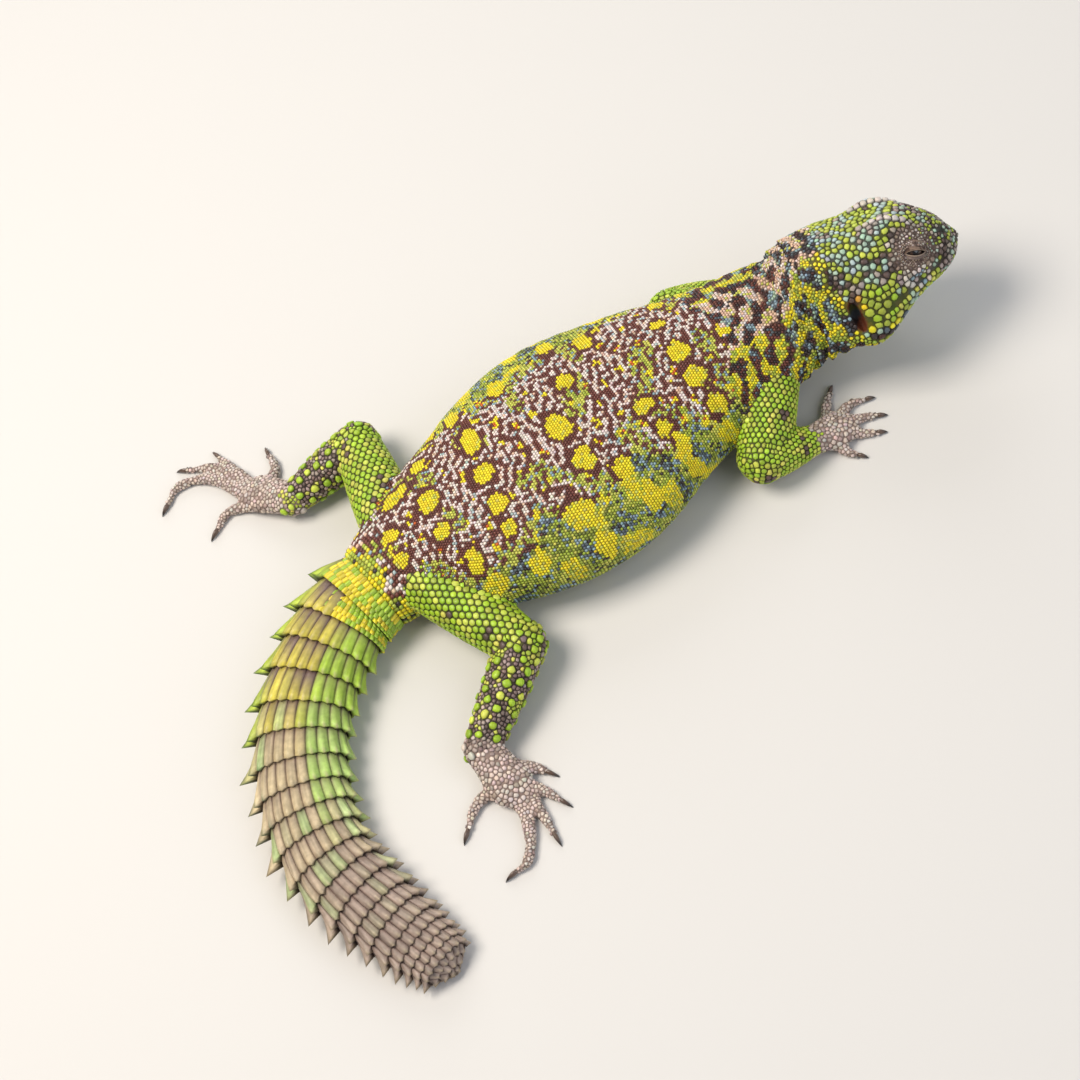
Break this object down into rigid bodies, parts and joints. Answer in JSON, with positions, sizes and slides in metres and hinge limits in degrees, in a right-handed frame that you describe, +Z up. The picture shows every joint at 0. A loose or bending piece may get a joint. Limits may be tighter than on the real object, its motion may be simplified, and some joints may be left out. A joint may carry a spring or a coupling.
{
  "type": "ornate uromastyx lizard, still life-size model",
  "caption": "Spiny-tailed lizard lying on its belly, head raised and turned right, tail curled round to the right, legs folded at its sides.",
  "frame": {"origin": "on the ground, under the middle of the whole animal's box", "axes": "+X along the trunk to the head, +Y to the animal's left, +Z up"},
  "size_m": [0.2251, 0.1756, 0.0415],
  "materials": {
    "dorsal_skin": "fine granular scales, satin, reddish brown with pale reticulation and yellow eye-spots",
    "green_skin": "beaded scales, satin, bright green and yellow over dark skin",
    "tail_scute": "horny whorled scutes, satin, yellow-green at the root to grey-tan at the tip",
    "pale_skin": "granular scales, matt, greyish pink-brown",
    "eye": "wet gloss, dark brown",
    "claw": "polished horn, dark brown"
  },
  "bodies": {
    "root": {"torso": "dorsal_skin", "neck": "dorsal_skin", "head": "green_skin", "eye_left": "eye", "eye_right": "eye", "tail_root": "tail_scute", "tail_middle": "tail_scute", "tail_end": "tail_scute", "upper_arm_left": "green_skin", "upper_arm_right": "green_skin", "forearm_left": "green_skin", "forearm_right": "green_skin", "hand_left": "pale_skin", "hand_right": "pale_skin", "thigh_left": "green_skin", "thigh_right": "green_skin", "shank_left": "green_skin", "shank_right": "green_skin", "foot_left": "pale_skin", "foot_right": "pale_skin", "claw_hand_left_1": "claw", "claw_hand_left_2": "claw", "claw_hand_left_3": "claw", "claw_hand_left_4": "claw", "claw_hand_left_5": "claw", "claw_hand_right_1": "claw", "claw_hand_right_2": "claw", "claw_hand_right_3": "claw", "claw_hand_right_4": "claw", "claw_hand_right_5": "claw", "claw_foot_left_1": "claw", "claw_foot_left_2": "claw", "claw_foot_left_3": "claw", "claw_foot_left_4": "claw", "claw_foot_left_5": "claw", "claw_foot_right_1": "claw", "claw_foot_right_2": "claw", "claw_foot_right_3": "claw", "claw_foot_right_4": "claw", "claw_foot_right_5": "claw"}
  },
  "joints": []
}
